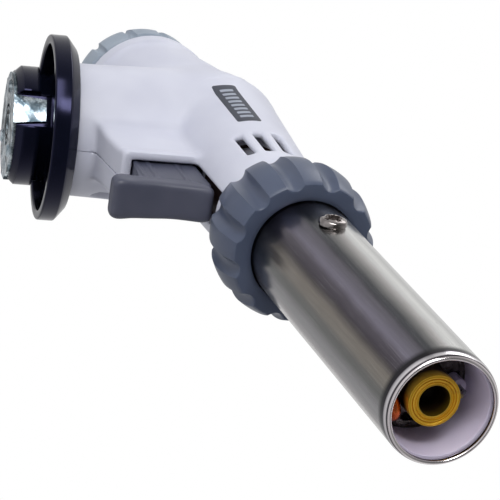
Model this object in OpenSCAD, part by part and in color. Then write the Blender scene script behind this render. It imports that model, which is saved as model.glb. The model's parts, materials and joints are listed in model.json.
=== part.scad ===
// Handheld gas torch head for a bayonet cartridge.
// +Z points away from the cartridge, +X is the way the flame leaves, and the
// origin is the centre of the collar's rim, where the cartridge stops.

/* [Barrel] */
// Distance from the cartridge axis to the barrel mouth, along X
reach = 159.7; // [150:0.1:170]
// Rise of the barrel above the horizontal, in degrees
barrel_tilt = 9.2; // [6:0.1:12]
// Height at which the barrel's axis crosses the cartridge axis
axis_cross_z = 40.7; // [39:0.1:43]
// Outer radius of the barrel tube
barrel_r = 12.37; // [12:0.01:12.6]
// Wall of the barrel tube
barrel_wall = 0.8; // [0.6:0.1:1]
// Length of the barrel tube
barrel_len = 98; // [97:0.5:98.2]
// Inner radius of the rolled lip at the mouth
lip_r = 11.0; // [10.9:0.1:11.2]

/* [Burner] */
// Outer radius of the brass nozzle
nozzle_r = 5.66; // [5.4:0.01:5.7]
// Bore radius of the nozzle's mouth
nozzle_bore_r = 3.35; // [3:0.01:3.6]
// How far the nozzle's face lies behind the barrel's mouth
nozzle_set_back = 5.1; // [4:0.1:7]
// How far the baffle plate lies behind the barrel's mouth
baffle_set_back = 15.5; // [14:0.1:17]
// Outer radius of the mixing tube
mixing_r = 4.5; // [4.3:0.1:4.6]
// Distance of the preheat tube's legs below the barrel's axis
preheat_drop = 8.0; // [7.8:0.1:8.2]

/* [Air ring] */
// Distance from the mouth to the front face of the air ring
ring_k = 85.3; // [84:0.1:87]
// Length of the air ring
ring_len = 18.3; // [17:0.1:18.4]
// Radius over the ring's lands at its two ends
ring_end_r = 16.8; // [16.6:0.1:17.4]
// Radius over the ring's lands at mid length
ring_mid_r = 18.6; // [17.8:0.1:19]
// Number of finger grooves around the ring
ring_grooves = 12; // [8:1:14]

/* [Housing] */
// Outer radius of the housing where it meets the air ring
front_r = 13.4; // [13.2:0.1:13.6]
// Outer radius of the neck above the collar
neck_r = 16.4; // [16:0.1:16.6]
// Wall of the housing shells
shell = 2.0; // [1.8:0.1:2.2]
// Radius of the round boss behind the knob
boss_r = 16.8; // [16.6:0.1:17]
// Height at which the valve's axis crosses the cartridge axis
valve_z = 36.2; // [36:0.1:36.6]
// Fall of the valve's axis towards the knob, in degrees
valve_tilt = 14; // [13:0.5:15]
// Distance from the cartridge axis to the housing's rear face, along the valve
rear_s = 30.6; // [30:0.1:31]

/* [Trigger] */
// Half width of the trigger inside the housing
trigger_hw = 4.2; // [4:0.1:4.3]
// Depth of the finger pad, along X
pad_depth = 7.2; // [6.5:0.1:7.8]
// X of the finger pad's front face
pad_x = 50.6; // [50:0.1:51]

/* [Cartridge seat] */
// Outer radius of the collar
collar_r = 23; // [22.6:0.1:23.4]
// Inner radius of the collar, around the cartridge's flange
collar_bore_r = 20.65; // [20.4:0.05:20.8]
// Depth of the collar, from its rim to its floor
collar_depth = 4.2; // [3.8:0.1:4.4]
// Radius of the boss that enters the cartridge's cup
plug_r = 13.4; // [13:0.1:13.6]
// Radius over the boss's locking lugs
lug_r = 14.7; // [14.6:0.1:15.2]
// Bore radius of the socket for the cartridge's valve stem
socket_r = 2.1; // [2:0.05:2.2]

/* [Knob] */
// Radius over the knob's lands
knob_r = 17.3; // [16.8:0.1:17.4]
// Number of grip lands around the knob
knob_lands = 12; // [8:1:14]
// Length of the knob
knob_len = 10; // [9.5:0.5:11]

/* [Hidden] */

$fn = 96;
eps = 0.05;
running = 0.08;          // radial clearance of a part that turns or slides
fixed = 0.02;            // radial clearance of a part that is pushed home

mouth_z = axis_cross_z + reach * tan(barrel_tilt);
cross_k = reach / cos(barrel_tilt);
barrel_bore_r = barrel_r - barrel_wall;

// Housing, along the barrel's axis
front_k = 104.5;
body_spread = 0.055;     // growth of the radius, per mm away from the ring
body_rise = 3;           // how far the body's axis leans up from the barrel's, in degrees
sleeve_r = barrel_r + running + 0.8;
shutter_r = 10.8;        // outer radius of the sleeve under the vents
front_bore_end_k = 128.5;
neck_z = 6.5;
flange_t = 2;
dome_r = 17;
dome_z = 42;
block_x = 34;
block_hw = 6.4;
slot_z = 17.9;
slot_drop = 11.5;        // top of the trigger slot below the barrel's axis

// Valve
valve_r = 5;
valve_front_s = 6;
valve_bore_r = 3.06;
spindle_r = 3;
seat_s = -5;

// Cartridge seat
collar_top_z = neck_z;
clip_t = 0.8;
clip_z = -8;             // inner face of the clip's plate
inlet_r = 4.4;
socket_end_z = -2;
filter_r = 1.8;
plug_spigot_r = 7;
leg_angles = [-36, 84, 204];

// Air slots
vent_angles = [-18.5, 1, 20.5];
vent_w = 3.1;
vent_len = 12.6;
vent_k = 114.8;
window_angle = 58;

// Knob
knob_gap = 0.6;
knob_front_s = -rear_s - knob_gap;
knob_back_s = knob_front_s - knob_len;

// Ignition
piezo_z = 24.4;
plunger_r = 2.6;
plunger_x = [17.5, 30];
piezo_x = [6.6, 23.5];
spark_up = 8.2;
wire_r = 0.75;

// Fasteners: X and Z of each housing screw
screw_xz = [[8.5, 15.6], [-10.4, 15], [-21, 40.6], [10.3, 51]];
screw_post_r = 2.8;
screw_shank_r = 1.25;

barrel_screw_k = 71.5;

// ---------------------------------------------------------------- frames

// Local +Z runs back from the mouth, local +X points up, local +Y stays +Y.
module on_barrel() {
    translate([reach, 0, mouth_z])
        rotate([0, -90 - barrel_tilt, 0])
            children();
}

// Local +Z runs along the valve's axis towards the knob. s is the distance from
// the cartridge axis, positive towards +X; local +X points up.
module on_valve(s) {
    translate([0, 0, valve_z])
        rotate([0, -90 - valve_tilt, 0])
            translate([0, 0, -s])
                children();
}

module tube(r_out, r_in, h) {
    difference() {
        cylinder(r = r_out, h = h);
        translate([0, 0, -1])
            cylinder(r = r_in, h = h + 2);
    }
}

// A straight round bar between two points.
module bar(p, q, r) {
    d = q - p;
    len = norm(d);
    translate(p)
        rotate([0, acos(d[2] / len), atan2(d[1], d[0])])
            cylinder(r = r, h = len, $fn = 24);
}

// Bars through a list of points, with round elbows.
module route(points, r) {
    for (i = [0 : len(points) - 2])
        bar(points[i], points[i + 1], r);
    for (i = [1 : len(points) - 2])
        translate(points[i])
            sphere(r = r * 1.1, $fn = 24);
}

function unit(v) = v / norm(v);

// A round tube of 16 sides along a list of points, none of whose stretches
// runs along the vector ref.
module swept_tube(points, r, ref) {
    sides = 16;
    last = len(points) - 1;
    rings = [for (i = [0 : last])
        let (t = unit(points[min(i + 1, last)] - points[max(i - 1, 0)]),
             n = unit(cross(t, ref)), b = cross(t, n))
            [for (j = [0 : sides - 1])
                points[i] + r * (cos(360 * j / sides) * n + sin(360 * j / sides) * b)]];
    walls = [for (i = [0 : last - 1], j = [0 : sides - 1])
        let (m = (j + 1) % sides)
            [i * sides + j, (i + 1) * sides + j, (i + 1) * sides + m, i * sides + m]];
    start_cap = [[for (j = [0 : sides - 1]) j]];
    end_cap = [[for (j = [sides - 1 : -1 : 0]) last * sides + j]];
    polyhedron([for (ring = rings) each ring], concat(walls, start_cap, end_cap));
}

// A point given as [up, y, distance behind the mouth], in the part's frame.
function from_barrel(p) = [
    reach - p[2] * cos(barrel_tilt) - p[0] * sin(barrel_tilt),
    p[1],
    mouth_z - p[2] * sin(barrel_tilt) + p[0] * cos(barrel_tilt)];

// A point on the valve's axis.
function from_valve(s) = [s * cos(valve_tilt), 0, valve_z + s * sin(valve_tilt)];

// ---------------------------------------------------------------- housing

// The tapered tube from the air ring to the neck, shrunk by inset.
module body_cone(inset) {
    len = cross_k + 2 - front_k;
    start_r = front_r - inset;
    on_barrel()
        translate([0, 0, front_k])
            rotate([0, body_rise, 0])
                cylinder(r1 = start_r, r2 = start_r + body_spread * len, h = len);
}

// The housing's volume, shrunk by inset: the tapered body, a domed neck over
// the collar, and a tube that drops back to the knob.
module housing_volume(inset) {
    neck = neck_r - inset;
    dome = dome_r - inset;
    back_drop = dome_z - valve_z + rear_s * sin(valve_tilt);
    back_run = rear_s * cos(valve_tilt);
    body_cone(inset);
    rotate_extrude()
        polygon(concat(
            [[0, neck_z + inset], [neck, neck_z + inset]],
            [for (a = [0 : 10 : 90]) [dome * cos(a), dome_z + dome * sin(a)]]));
    intersection() {
        translate([0, 0, dome_z])
            rotate([0, -90 - atan(back_drop / back_run), 0])
                cylinder(r1 = dome - 0.45, r2 = boss_r - 0.35 - inset, h = 45);
        on_valve(-rear_s + inset + 0.6)
            translate([-50, -50, -90])
                cube([100, 100, 90]);
    }
    on_valve(-rear_s + inset + 3.5)
        rotate_extrude()
            polygon([
                [0, 0], [boss_r - inset, 0], [boss_r - inset, 2.9],
                [boss_r - inset - 0.6, 3.5], [0, 3.5]]);
}

// The block that holds the trigger, in front of the neck.
module trigger_block() {
    rotate([90, 0, 0])
        linear_extrude(height = 2 * block_hw, center = true)
            polygon([
                [2, 12], [block_x - 2, 14.6], [block_x, 16.4], [block_x, 36], [2, 36]]);
}

module slot_section() {
    x = [15, 52.5];
    drop_at_front = slot_drop / cos(barrel_tilt);
    top = axis_cross_z - drop_at_front;
    polygon([
        [x[0], slot_z], [x[1], slot_z],
        [x[1], top + x[1] * tan(barrel_tilt)], [x[0], top + x[0] * tan(barrel_tilt)]]);
}

// The space that the trigger slides in.
module trigger_slot() {
    rotate([90, 0, 0])
        linear_extrude(height = 2 * (trigger_hw + 0.35), center = true)
            slot_section();
}

// Walls inside the housing that hold the valve, the burner and the piezo.
module inner_ribs() {
    for (s = [-26, -13])
        on_valve(s)
            translate([-14, -20, 0])
                cube([36, 40, 2]);
    translate([12.5, -20, 8])
        cube([1.8, 40, 22]);
    on_barrel()
        translate([-20, -20, front_bore_end_k])
            cube([40, 40, 2.4]);
}

module screw_posts() {
    for (p = screw_xz)
        translate([p[0], 0, p[1]])
            rotate([90, 0, 0])
                cylinder(r = screw_post_r, h = 40, center = true);
}

module vents() {
    for (side = [0, 180], a = vent_angles)
        on_barrel()
            rotate([0, 0, side == 0 ? -90 + a : 90 - a])
                translate([0, -vent_w / 2, vent_k])
                    cube([20, vent_w, vent_len]);
}

// Everything that is cut out of both shells.
module housing_cuts() {
    trigger_slot();
    vents();
    on_barrel() {
        translate([0, 0, front_k - 2])
            cylinder(r = shutter_r + running, h = front_bore_end_k - front_k + 2);
        translate([0, 0, front_bore_end_k - 1])
            cylinder(r = 5.02, h = 12);
        // room behind the front wall for the preheat tube and the wire
        translate([-preheat_drop - 1.6, -4.4, front_bore_end_k - 1])
            cube([6, 8.8, 12]);
        translate([spark_up - 1.2, -1.2, front_bore_end_k - 1])
            cube([2.4, 2.4, 12]);
    }
    on_valve(valve_front_s + 1)
        cylinder(r = valve_r + fixed, h = 60);
    translate([0, 0, neck_z - 1])
        cylinder(r = inlet_r + 0.3, h = 20);
    translate([piezo_x[0] - 1, -4.02, piezo_z - 4.52])
        cube([30, 8.04, 9.04]);
    for (p = screw_xz)
        translate([p[0], 0, p[1]])
            rotate([90, 0, 0])
                cylinder(r = screw_shank_r + fixed, h = 16, center = true);
}

module shell_half(side) {
    difference() {
        intersection() {
            union() {
                housing_volume(0);
                trigger_block();
            }
            translate([-60, side > 0 ? eps / 2 : -60 - eps / 2, -20])
                cube([150, 60, 120]);
        }
        difference() {
            housing_volume(shell);
            inner_ribs();
            screw_posts();
        }
        housing_cuts();
    }
}

// Wells for the screw heads, cut from the left side.
module screw_wells() {
    for (p = screw_xz)
        translate([p[0], 9, p[1]])
            rotate([-90, 0, 0])
                cylinder(r = 2.5, h = 20);
}

module housing_left() {
    color("lightsteelblue")
        difference() {
            shell_half(1);
            screw_wells();
            for (p = screw_xz)
                translate([p[0], -1, p[1]])
                    rotate([-90, 0, 0])
                        cylinder(r = screw_shank_r + 0.2, h = 12);
        }
}

label_k = 144.6;
label_size = [22.2, 6.1];
label_up = 0.8;

// A curved patch on the housing's right side, from a depth of in_d up to out_d
// above the surface.
module label_patch(in_d, out_d, size) {
    intersection() {
        difference() {
            body_cone(-out_d);
            body_cone(in_d);
        }
        on_barrel()
            translate([label_up, -15, label_k])
                cube([size[1], 12, size[0]], center = true);
    }
}

module housing_right() {
    color("lightsteelblue")
        difference() {
            shell_half(-1);
            label_patch(0.5, 1, label_size + [0.1, 0.1]);
        }
}

module label_plate() {
    color("dimgray")
        label_patch(0.5, 0.05, label_size);
}

module housing_screws() {
    color("silver")
        for (p = screw_xz)
            translate([p[0], 9, p[1]])
                rotate([-90, 0, 0])
                    difference() {
                        union() {
                            cylinder(r = 2.3, h = 1.7);
                            translate([0, 0, -14])
                                cylinder(r = screw_shank_r, h = 14 + eps);
                        }
                        for (a = [0, 90])
                            rotate([0, 0, a])
                                translate([-1.5, -0.3, 0.8])
                                    cube([3, 0.6, 2]);
                    }
}

// ---------------------------------------------------------------- cartridge seat

module collar_disc() {
    cone_r = 20;
    color("#1c1e26")
        rotate_extrude()
            polygon([
                [plug_spigot_r + fixed, collar_depth],
                [collar_bore_r, collar_depth], [collar_bore_r, 0.4],
                [collar_bore_r + 0.4, 0], [collar_r - 0.4, 0], [collar_r, 0.4],
                [collar_r, collar_depth], [cone_r, collar_top_z],
                [plug_spigot_r + fixed, collar_top_z]]);
}

module bayonet_boss() {
    color("#1c1e26")
        difference() {
            union() {
                translate([0, 0, clip_z])
                    cylinder(r = plug_r, h = collar_depth - clip_z);
                translate([0, 0, clip_z])
                    cylinder(r = plug_spigot_r, h = collar_top_z - clip_z);
                for (a = leg_angles)
                    rotate([0, 0, a + 60])
                        translate([0, 0, -6.45])
                            rotate_extrude(angle = 84, start = -42)
                                polygon([
                                    [plug_r - 1, -1.4], [plug_r, -1.4],
                                    [lug_r, 0], [lug_r, 4.2], [plug_r - 1, 4.2]]);
            }
            translate([0, 0, clip_z - 1])
                cylinder(r = inlet_r + fixed, h = 20);
            for (a = leg_angles)
                rotate([0, 0, a])
                    translate([plug_r - 1.2, -4, clip_z - 1])
                        cube([4, 8, 9.6]);
            for (a = leg_angles)
                rotate([0, 0, a + 60])
                    translate([9.5, 0, clip_z - 1])
                        cylinder(r = 1.02, h = 6, $fn = 48);
        }
}

// Sheet steel: a round plate with three legs bent up along the boss.
module bayonet_clip() {
    leg_z = 8;
    color("silver")
        difference() {
            union() {
                translate([0, 0, clip_z - clip_t])
                    cylinder(r = plug_r - 0.4, h = clip_t);
                for (a = leg_angles)
                    rotate([0, 0, a])
                        translate([plug_r - 1, 0, clip_z - clip_t])
                            rotate([90, 0, 90])
                                linear_extrude(height = clip_t)
                                    polygon([
                                        [-3.6, 0], [3.6, 0], [2.7, leg_z],
                                        [-2.7, leg_z]]);
            }
            translate([0, 0, clip_z - 2])
                cylinder(r = inlet_r + 0.8, h = 4);
            for (a = leg_angles)
                rotate([0, 0, a + 60])
                    translate([9.5, 0, clip_z - 2])
                        cylinder(r = 1.02, h = 4, $fn = 48);
        }
}

module clip_rivets() {
    color("lightgray")
        for (a = leg_angles)
            rotate([0, 0, a + 60])
                translate([9.5, 0, 0]) {
                    translate([0, 0, clip_z - clip_t])
                        cylinder(r = 1, h = 5, $fn = 48);
                    translate([0, 0, clip_z - clip_t - 0.6])
                        cylinder(r1 = 1.3, r2 = 1.9, h = 0.6, $fn = 48);
                }
}

module inlet_body() {
    top_z = 24.4;
    bottom_z = clip_z - clip_t;
    color("goldenrod")
        difference() {
            translate([0, 0, bottom_z])
                cylinder(r = inlet_r, h = top_z - bottom_z);
            translate([0, 0, bottom_z - 1])
                cylinder(r = socket_r, h = 1 + socket_end_z - bottom_z);
            translate([0, 0, bottom_z - 1])
                cylinder(r = filter_r, h = 3 + socket_end_z - bottom_z);
            translate([0, 0, bottom_z - 1])
                cylinder(r = 0.9, h = 50, $fn = 48);
            // seat for the seal in the end face
            translate([0, 0, bottom_z - 1])
                tube(3.7, socket_r + 0.5, 2);
        }
}

module inlet_seal() {
    bottom_z = clip_z - clip_t;
    color("black")
        translate([0, 0, bottom_z + 0.45])
            rotate_extrude()
                translate([(3.7 + socket_r + 0.5) / 2, 0])
                    circle(r = 0.53, $fn = 32);
}

module inlet_filter() {
    color("tan")
        translate([0, 0, socket_end_z])
            tube(filter_r - fixed, 0.5, 1.9);
}

module clamp_washer() {
    color("silver")
        translate([0, 0, neck_z + flange_t])
            tube(11, inlet_r + 0.1, 1);
}

module inlet_nut() {
    color("goldenrod")
        translate([0, 0, neck_z + flange_t + 1])
            difference() {
                cylinder(r = 6.9, h = 3.2, $fn = 6);
                translate([0, 0, -1])
                    cylinder(r = inlet_r + fixed, h = 6);
            }
}

// ---------------------------------------------------------------- valve and knob

module valve_body() {
    port_z = 20;
    drill_drop = valve_bore_r + 0.4;
    color("goldenrod")
        difference() {
            union() {
                on_valve(valve_front_s)
                    cylinder(r = valve_r, h = valve_front_s + rear_s);
                translate([0, 0, port_z])
                    cylinder(r = 5.4, h = valve_z - port_z);
            }
            translate([0, 0, port_z - 1])
                cylinder(r = inlet_r + fixed, h = 5.5);
            on_valve(seat_s)
                cylinder(r = valve_bore_r, h = 40);
            // gas rises from the inlet and enters the bore behind the seat
            translate([0, 0, port_z])
                cylinder(r = 0.9, h = valve_z - drill_drop - port_z, $fn = 48);
            on_valve(1)
                translate([-drill_drop, 0, 0])
                    cylinder(r = 0.9, h = 9, $fn = 48);
            on_valve(valve_front_s - 4)
                cylinder(r = 0.6, h = 8, $fn = 48);
            // socket for the preheat tube's first leg
            on_valve(valve_front_s + 1)
                cylinder(r = 1.22, h = 6, $fn = 48);
        }
}

module gland_nut() {
    color("goldenrod")
        on_valve(-rear_s)
            difference() {
                cylinder(r = 6.5, h = 3, $fn = 6);
                translate([0, 0, -1])
                    cylinder(r = spindle_r + running, h = 5);
            }
}

// A round bar along +Z with one flat at the given distance from its axis.
module flatted_bar(r, flat, h) {
    intersection() {
        cylinder(r = r, h = h);
        translate([-2 * r, -2 * r, 0])
            cube([2 * r + flat, 4 * r, h]);
    }
}

module needle_spindle() {
    groove_s = -16;
    color("#c9a24a")
        difference() {
            union() {
                on_valve(seat_s - 3.4)
                    cylinder(r = spindle_r, h = seat_s - 3.4 + rear_s + 3.2);
                on_valve(seat_s - 0.1)
                    cylinder(r1 = 0.5, r2 = 1.6, h = 3.4 + eps, $fn = 48);
                on_valve(-rear_s - 3.2 + eps)
                    flatted_bar(spindle_r, 2.1, 3.6);
            }
            on_valve(groove_s)
                tube(spindle_r + 1, 1.62, 1.5);
        }
}

module spindle_oring() {
    color("black")
        on_valve(-16 - 0.75)
            rotate_extrude()
                translate([2.34, 0])
                    circle(r = 0.69, $fn = 32);
}

module knob() {
    groove_r = 1.1;
    color("#8b98a8")
        on_valve(knob_front_s)
            difference() {
                rotate_extrude()
                    polygon([
                        [0, 0], [knob_r - 0.8, 0], [knob_r, 0.8],
                        [knob_r, 4.4], [knob_r - 1.2, knob_len - 2],
                        [knob_r - 2.6, knob_len], [0, knob_len]]);
                for (i = [0 : knob_lands - 1])
                    rotate([0, 0, (i + 0.5) * 360 / knob_lands])
                        translate([knob_r + 0.35, 0, -1])
                            cylinder(r = groove_r, h = knob_len + 2, $fn = 32);
                // hollow under the rim, around the gland nut
                translate([0, 0, -1])
                    tube(knob_r - 2.4, 4.8, 1 + knob_len - 4);
                translate([0, 0, -1])
                    cylinder(r = 7.2, h = 4);
                difference() {
                    translate([0, 0, -1])
                        cylinder(r = spindle_r + running, h = knob_len - 1.9);
                    translate([2.1 + 0.1, -5, 3.6])
                        cube([3, 10, knob_len]);
                }
                translate([0, 0, knob_len - 2])
                    cylinder(r = 9 + fixed, h = 4);
            }
}

module knob_cap() {
    color("#6f7c8c")
        on_valve(knob_back_s + 2)
            rotate_extrude()
                polygon([[0, 0], [9, 0], [9, 1.4], [8.2, 2], [0, 2]]);
}

// ---------------------------------------------------------------- burner

// Gas leaves the valve, runs to the flame in one leg, turns back in a U at
// the nozzle and returns in the other leg to the jet.
module preheat_tube() {
    leg_y = 2.3;
    r = 1.2;
    bend_k = 13.2;
    supply = [
        from_valve(valve_front_s - 4.8), from_valve(valve_front_s + 1.5),
        from_barrel([-preheat_drop, -leg_y, 141])];
    bend = [for (a = [0 : 30 : 180])
        from_barrel([-preheat_drop, -leg_y * cos(a), bend_k - leg_y * sin(a)])];
    end = [from_barrel([-preheat_drop, leg_y, front_bore_end_k + 4])];
    color("#b8693d")
        swept_tube(concat(supply, bend, end), r, from_barrel([1, 0, 0]) - from_barrel([0, 0, 0]));
}

holder_k = front_bore_end_k - 1;

module jet_holder() {
    color("goldenrod")
        on_barrel()
            difference() {
                union() {
                    translate([0, 0, holder_k])
                        cylinder(r = 5, h = 9);
                    translate([-preheat_drop - 1.5, 0.5, holder_k + 3.4])
                        cube([preheat_drop, 3.6, 5.6]);
                }
                translate([0, 0, holder_k - 1])
                    cylinder(r = mixing_r + fixed, h = 3);
                translate([0, 0, holder_k + 1])
                    cylinder(r = 1.52, h = 4, $fn = 48);
                translate([0, 0, holder_k + 1])
                    cylinder(r = 0.8, h = 6, $fn = 48);
                translate([-preheat_drop, 2.3, holder_k - 1])
                    cylinder(r = 1.22, h = 6.2, $fn = 48);
                translate([-preheat_drop, -2.3, holder_k - 1])
                    cylinder(r = 1.7, h = 20, $fn = 48);
            }
}

module gas_jet() {
    color("gold")
        on_barrel()
            translate([0, 0, holder_k + 0.2])
                difference() {
                    cylinder(r = 1.5, h = 3.8, $fn = 48);
                    translate([0, 0, -1])
                        cylinder(r = 0.25, h = 6, $fn = 24);
                }
}

module mixing_tube() {
    end_k = holder_k + 1.6;
    start_k = 20;
    color("darkkhaki")
        on_barrel()
            difference() {
                translate([0, 0, start_k])
                    cylinder(r = mixing_r, h = end_k - start_k);
                translate([0, 0, start_k - 1])
                    cylinder(r = 3.1, h = end_k - start_k + 2);
                for (a = [45, 135, 225, 315])
                    rotate([0, 0, a])
                        translate([0, 0, vent_k + 5])
                            rotate([0, 90, 0])
                                cylinder(r = 2, h = 10, $fn = 48);
            }
}

module nozzle() {
    len = 20;
    color("goldenrod")
        on_barrel()
            translate([0, 0, nozzle_set_back])
                difference() {
                    cylinder(r = nozzle_r, h = len);
                    translate([0, 0, -1])
                        cylinder(r = nozzle_bore_r, h = 12);
                    translate([0, 0, 10])
                        cylinder(r = mixing_r + fixed, h = len);
                    // machined rings in the face
                    for (r = [4.0, 4.65])
                        translate([0, 0, -1])
                            tube(r + 0.18, r, 1.25);
                }
}

module flame_screen() {
    pitch = 1.4;
    color("dimgray")
        on_barrel()
            translate([0, 0, 16.2])
                difference() {
                    cylinder(r = mixing_r - fixed, h = 0.8);
                    for (i = [-2 : 2], j = [-2 : 2])
                        if (norm([i, j]) * pitch < 3.2)
                            translate([i * pitch, j * pitch, -1])
                                cylinder(r = 0.45, h = 3, $fn = 24);
                }
}

// The disc inside the barrel that its screw bites into.
module barrel_adapter() {
    start_k = 66;
    color("gray")
        on_barrel()
            translate([0, 0, start_k])
                difference() {
                    cylinder(r = barrel_bore_r - fixed, h = 11);
                    translate([0, 0, -1])
                        cylinder(r = mixing_r + fixed, h = 14);
                    for (a = [30, 60, 120, 150, 210, 330])
                        rotate([0, 0, a])
                            translate([8, 0, -1])
                                cylinder(r = 1.7, h = 14, $fn = 32);
                    for (y = [-2.3, 2.3])
                        translate([-preheat_drop, y, -1])
                            cylinder(r = 1.22, h = 14, $fn = 48);
                    translate([spark_up, 0, -1])
                        cylinder(r = wire_r + fixed, h = 14, $fn = 48);
                    translate([0, 0, barrel_screw_k - start_k])
                        rotate([90, 0, 0])
                            translate([0, 0, 5.5])
                                cylinder(r = 1.42, h = 10, $fn = 48);
                }
}

module baffle_plate() {
    plate_r = 10.73;
    color("silver")
        on_barrel()
            translate([0, 0, baffle_set_back])
                difference() {
                    cylinder(r = plate_r, h = 0.8);
                    translate([0, 0, -1])
                        cylinder(r = nozzle_r + fixed, h = 3);
                    for (y = [-2.3, 2.3])
                        translate([-preheat_drop, y, -1])
                            cylinder(r = 1.3, h = 3, $fn = 48);
                    translate([spark_up, 0, -1])
                        cylinder(r = 1.64, h = 3, $fn = 48);
                    for (a = [50, 90, 130, 230, 270, 310])
                        rotate([0, 0, a])
                            translate([8.2, 0, -1])
                                cylinder(r = 1.5, h = 3, $fn = 48);
                }
}

module liner() {
    color("#e6e4ee")
        on_barrel()
            translate([0, 0, 2])
                tube(barrel_bore_r - 0.05, 10.75, 30);
}

module barrel() {
    lip = 0.65;
    arc = [for (a = [0 : 15 : 180])
        [(barrel_r + lip_r) / 2 + (barrel_r - lip_r) / 2 * cos(a), lip - lip * sin(a)]];
    color("lightgray")
        on_barrel()
            difference() {
                rotate_extrude()
                    polygon(concat(arc, [
                        [lip_r, lip + 0.5], [barrel_bore_r, lip + 1.2],
                        [barrel_bore_r, barrel_len], [barrel_r, barrel_len]]));
                translate([0, 0, barrel_screw_k])
                    rotate([90, 0, 0])
                        cylinder(r = 1.5, h = 20, $fn = 48);
            }
}

module barrel_screw() {
    head_r = 3.2;
    color("silver")
        on_barrel()
            translate([0, -barrel_r + 0.35, barrel_screw_k])
                rotate([90, 0, 0])
                    difference() {
                        union() {
                            translate([0, 0, -5.6])
                                cylinder(r = 1.4, h = 6, $fn = 48);
                            rotate_extrude()
                                polygon([
                                    [0, 0.36], [head_r, 0.36], [head_r, 1.3],
                                    [head_r - 0.5, 1.9], [head_r - 1.6, 2.3],
                                    [0, 2.3]]);
                        }
                        for (a = [20, 110])
                            rotate([0, 0, a])
                                translate([-1.9, -0.4, 1])
                                    cube([3.8, 0.8, 3]);
                    }
}

// ---------------------------------------------------------------- air ring

module air_ring() {
    mid = ring_len / 2;
    sag = ring_mid_r - ring_end_r;
    edge = 0.5;
    land = [for (t = [-1 : 0.25 : 1])
        [ring_end_r + sag * (1 - t * t), mid + t * (mid - edge)]];
    color("#6b7888")
        on_barrel()
            translate([0, 0, ring_k])
                difference() {
                    rotate_extrude()
                        polygon(concat(
                            [[barrel_r + 0.4, 0], [ring_end_r - edge, 0]], land,
                            [[ring_end_r - edge, ring_len],
                             [sleeve_r + fixed, ring_len],
                             [sleeve_r + fixed, ring_len - 4],
                             [barrel_r + 0.4, ring_len - 4]]));
                    for (i = [0 : ring_grooves - 1])
                        rotate([0, 0, (i + 0.5) * 360 / ring_grooves])
                            translate([ring_mid_r + 0.9, 0, -1])
                                cylinder(r = 2.7, h = ring_len + 2, $fn = 48);
                }
}

// The tube behind the ring: turning it slides its windows off the vents.
module air_sleeve() {
    start_k = ring_k + ring_len - 4 + fixed;
    end_k = front_bore_end_k - 0.3;
    middle = (vent_angles[0] + vent_angles[2]) / 2;
    color("#56616f")
        on_barrel()
            difference() {
                rotate_extrude()
                    polygon([
                        [shutter_r - 0.7, start_k], [sleeve_r, start_k],
                        [sleeve_r, start_k + 1.2], [shutter_r, start_k + 1.2],
                        [shutter_r, end_k], [shutter_r - 0.7, end_k]]);
                for (a = [-90 + middle, 90 - middle])
                    translate([0, 0, vent_k - 0.4])
                        rotate_extrude(angle = window_angle, start = a - window_angle / 2)
                            translate([shutter_r - 2, 0])
                                square([4, vent_len + 0.8]);
            }
}

// ---------------------------------------------------------------- trigger and spark

module trigger() {
    pad_hw = trigger_hw + 0.25;
    pad_z = [11.6, 35.9];
    pad_back_x = pad_x - pad_depth;
    mid_z = (pad_z[0] + pad_z[1]) / 2;
    sag_r = 38;
    top_z = axis_cross_z - (slot_drop + 1.2) / cos(barrel_tilt);
    cheek_x = plunger_x[1];
    slope = tan(barrel_tilt);
    color("#4a4f5e")
        difference() {
            union() {
                rotate([90, 0, 0])
                    linear_extrude(height = 2 * trigger_hw, center = true)
                        polygon([
                            [cheek_x, slot_z + 0.4], [pad_back_x + 2, slot_z + 0.4],
                            [pad_back_x + 2, top_z + (pad_back_x + 2) * slope],
                            [cheek_x, top_z + cheek_x * slope]]);
                rotate([90, 0, 0])
                    linear_extrude(height = 2 * pad_hw, center = true)
                        offset(r = 2, $fn = 32)
                            offset(delta = -2)
                                polygon([
                                    [pad_back_x, pad_z[0]], [pad_x, pad_z[0]],
                                    [pad_x - 0.4, pad_z[1]], [pad_back_x, pad_z[1] - 1]]);
                // guide ribs on both cheeks
                for (z = [19.6, 22, 29])
                    translate([cheek_x, -trigger_hw - 0.25, z])
                        cube([pad_back_x - cheek_x - 2, 2 * trigger_hw + 0.5, 0.7]);
            }
            // finger hollow
            translate([pad_x + sag_r - 2.2, 0, mid_z])
                rotate([90, 0, 0])
                    cylinder(r = sag_r, h = 30, center = true, $fn = 192);
        }
}

module piezo_plunger() {
    color("ivory")
        translate([plunger_x[0], 0, piezo_z])
            rotate([0, 90, 0])
                cylinder(r = plunger_r, h = plunger_x[1] - plunger_x[0]);
}

// A round wire wound along +Z.
module helix(coil_r, w, turns, h) {
    sides = 6;
    per_turn = 14;
    rings = turns * per_turn;
    points = [for (i = [0 : rings], j = [0 : sides - 1])
        let (t = 360 * i / per_turn, a = 360 * j / sides, r = coil_r + w * cos(a))
            [r * cos(t), r * sin(t), w + (h - 2 * w) * i / rings + w * sin(a)]];
    walls = [for (i = [0 : rings - 1], j = [0 : sides - 1])
        let (n = (j + 1) % sides)
            [i * sides + j, (i + 1) * sides + j, (i + 1) * sides + n, i * sides + n]];
    start_cap = [[for (j = [0 : sides - 1]) j]];
    end_cap = [[for (j = [sides - 1 : -1 : 0]) rings * sides + j]];
    polyhedron(points, concat(walls, start_cap, end_cap));
}

module piezo_spring() {
    color("silver")
        translate([9.1, 0, piezo_z])
            rotate([0, 90, 0])
                helix(2.1, 0.25, 5, plunger_x[0] - 9.1 - 0.05);
}

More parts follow.
